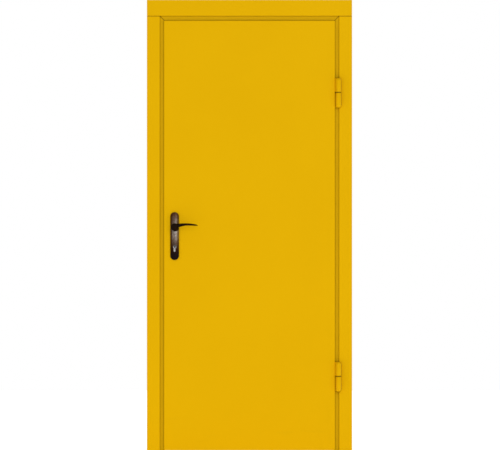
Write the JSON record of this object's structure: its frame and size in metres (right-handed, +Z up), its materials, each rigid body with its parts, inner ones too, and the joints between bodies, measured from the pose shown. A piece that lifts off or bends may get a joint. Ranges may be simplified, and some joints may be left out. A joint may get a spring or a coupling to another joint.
{
  "type": "entrance door",
  "caption": "Single-leaf steel entrance door in a mitred sheet frame with flat casings, hung on barrel hinges, with a sprung lever handle on a long plate over a profile cylinder.",
  "frame": {"origin": "floor level, middle of the width, in the plane of the wall face behind the casings, on the underside of the sill plate", "axes": "+X to the hinge side as seen from outside, +Y into the wall, +Z up"},
  "size_m": [0.96, 0.173, 2.12],
  "materials": {
    "frame_paint": "satin yellow paint",
    "leaf_paint": "satin yellow paint",
    "sill_steel": "brushed",
    "handle_metal": "dark satin lacquer",
    "cylinder_nickel": "satin nickel plate",
    "seal_rubber": "matt",
    "lock_steel": "zinc plated",
    "washer_brass": "plain"
  },
  "bodies": {
    "frame": {"lock_jamb_lower": "frame_paint", "lock_jamb_keeper": "frame_paint", "lock_jamb_upper": "frame_paint", "lock_jamb_stop": "frame_paint", "hinge_jamb": "frame_paint", "hinge_jamb_stop": "frame_paint", "head": "frame_paint", "head_stop": "frame_paint", "sill_plate": "sill_steel", "sill": "sill_steel", "lock_casing": "frame_paint", "hinge_casing": "frame_paint", "head_casing": "frame_paint", "frame_seal": "seal_rubber", "strike_plate": "lock_steel", "upper_hinge_frame_half": "frame_paint", "lower_hinge_frame_half": "frame_paint", "upper_hinge_pin": "lock_steel", "lower_hinge_pin": "lock_steel", "upper_hinge_washer": "washer_brass", "lower_hinge_washer": "washer_brass"},
    "leaf": {"outer_skin": "leaf_paint", "inner_skin": "leaf_paint", "lock_front": "lock_steel", "latch_bolt": "lock_steel", "dead_bolt": "lock_steel", "upper_hinge_leaf_half": "leaf_paint", "lower_hinge_leaf_half": "leaf_paint", "outside_plate": "handle_metal", "inside_plate": "handle_metal", "key_cylinder": "cylinder_nickel"},
    "lever": {"outside_lever": "handle_metal", "inside_lever": "handle_metal", "spindle": "lock_steel"}
  },
  "joints": [
    {"name": "leaf_swing", "type": "hinge", "parent": "frame", "child": "leaf", "pos_m": [0.418, -0.0175, 1.023], "axis": [0, 0, 1], "range_deg": [0, 170]},
    {"name": "lever_turn", "type": "hinge", "parent": "leaf", "child": "lever", "pos_m": [-0.35, 0.0235, 1.056], "axis": [0, 1, 0], "range_deg": [0, 40], "stiffness_Nm_per_rad": 1.2, "springref_deg": -28.65}
  ]
}
